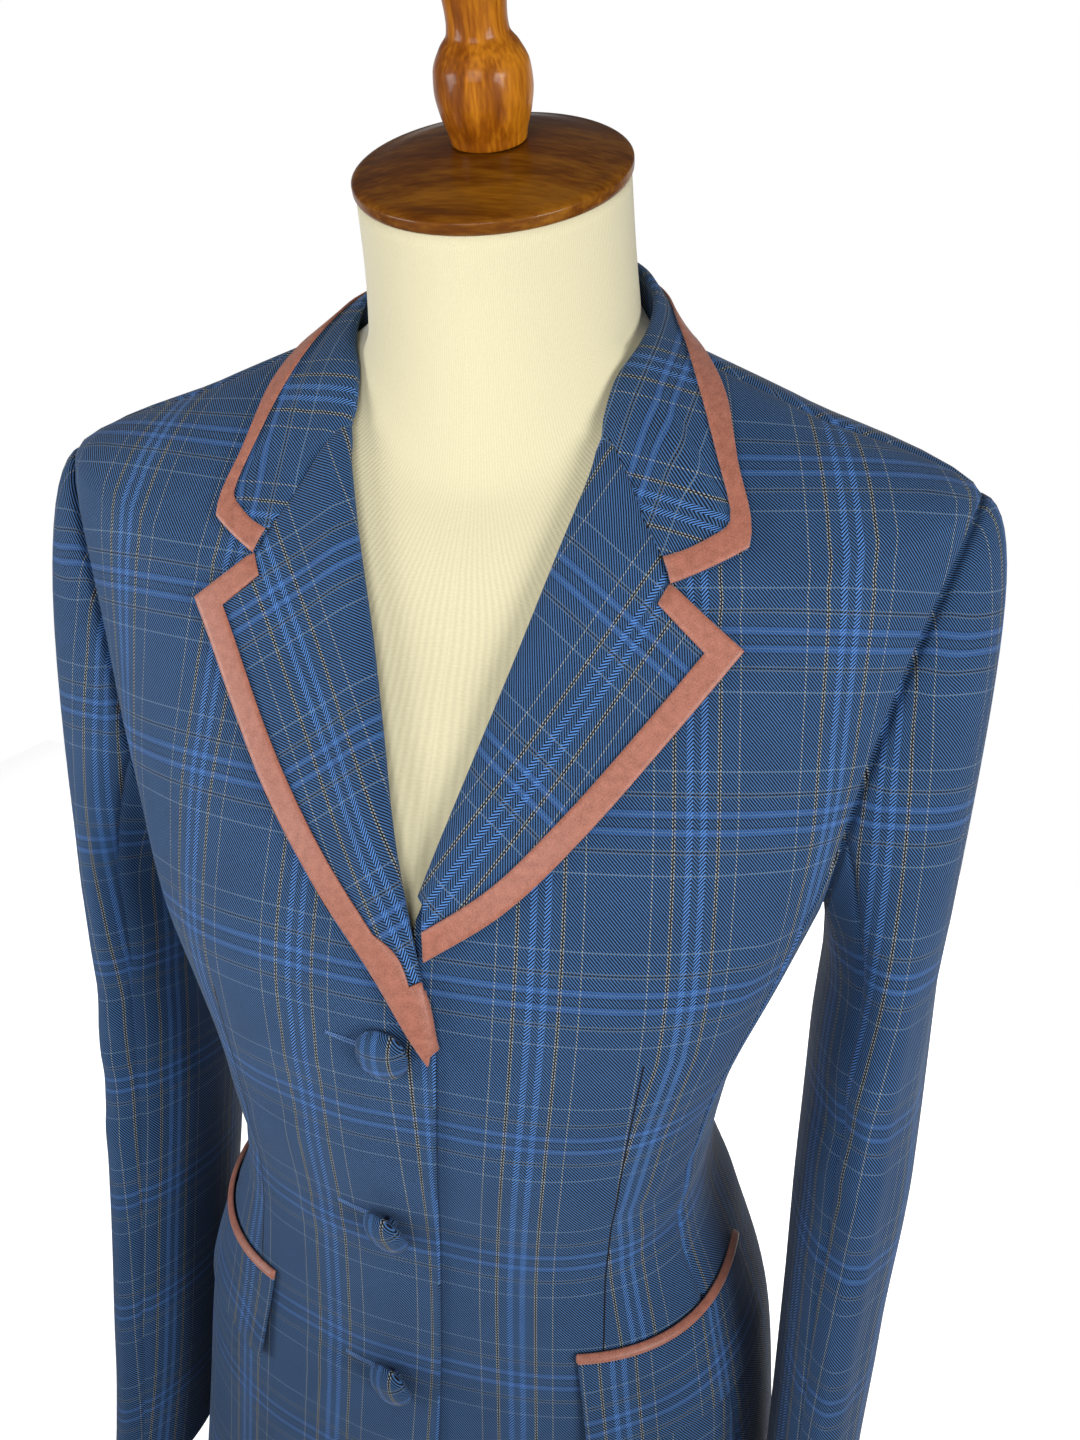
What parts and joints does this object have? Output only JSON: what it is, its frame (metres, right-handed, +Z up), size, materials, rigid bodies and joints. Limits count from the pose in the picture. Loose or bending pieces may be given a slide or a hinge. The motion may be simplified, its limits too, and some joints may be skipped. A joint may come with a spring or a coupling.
{
  "type": "riding show coat on a dress form",
  "caption": "Plaid wool riding show coat with satin-edged lapels, collar and pocket flaps, buttoned on a limbless dress form on a pole stand.",
  "frame": {"origin": "on the floor under the middle of the stand's round base", "axes": "+Z up, the coat's front faces -Y, the wearer's left is +X"},
  "size_m": [0.4552, 0.39, 1.6664],
  "materials": {
    "plaid_wool": "fine twill wool in a blue plaid, matt",
    "satin": "rose satin band, soft sheen",
    "jersey": "cream knitted jersey cover, matt",
    "stained_wood": "red-brown stained and varnished turned wood"
  },
  "bodies": {
    "root": {"front_left": "plaid_wool", "front_right": "plaid_wool", "side_left": "plaid_wool", "side_right": "plaid_wool", "back_left": "plaid_wool", "back_right": "plaid_wool", "top_sleeve_left": "plaid_wool", "top_sleeve_right": "plaid_wool", "under_sleeve_left": "plaid_wool", "under_sleeve_right": "plaid_wool", "lapel_left": "plaid_wool", "lapel_right": "plaid_wool", "collar": "plaid_wool", "pocket_flap_left": "plaid_wool", "pocket_flap_right": "plaid_wool", "button_1": "plaid_wool", "button_2": "plaid_wool", "button_3": "plaid_wool", "lapel_trim_left": "satin", "lapel_trim_right": "satin", "collar_trim": "satin", "pocket_piping_left": "satin", "pocket_piping_right": "satin", "form_torso": "jersey", "neck_cap": "stained_wood", "finial": "stained_wood", "pole": "stained_wood", "base": "stained_wood"}
  },
  "joints": []
}
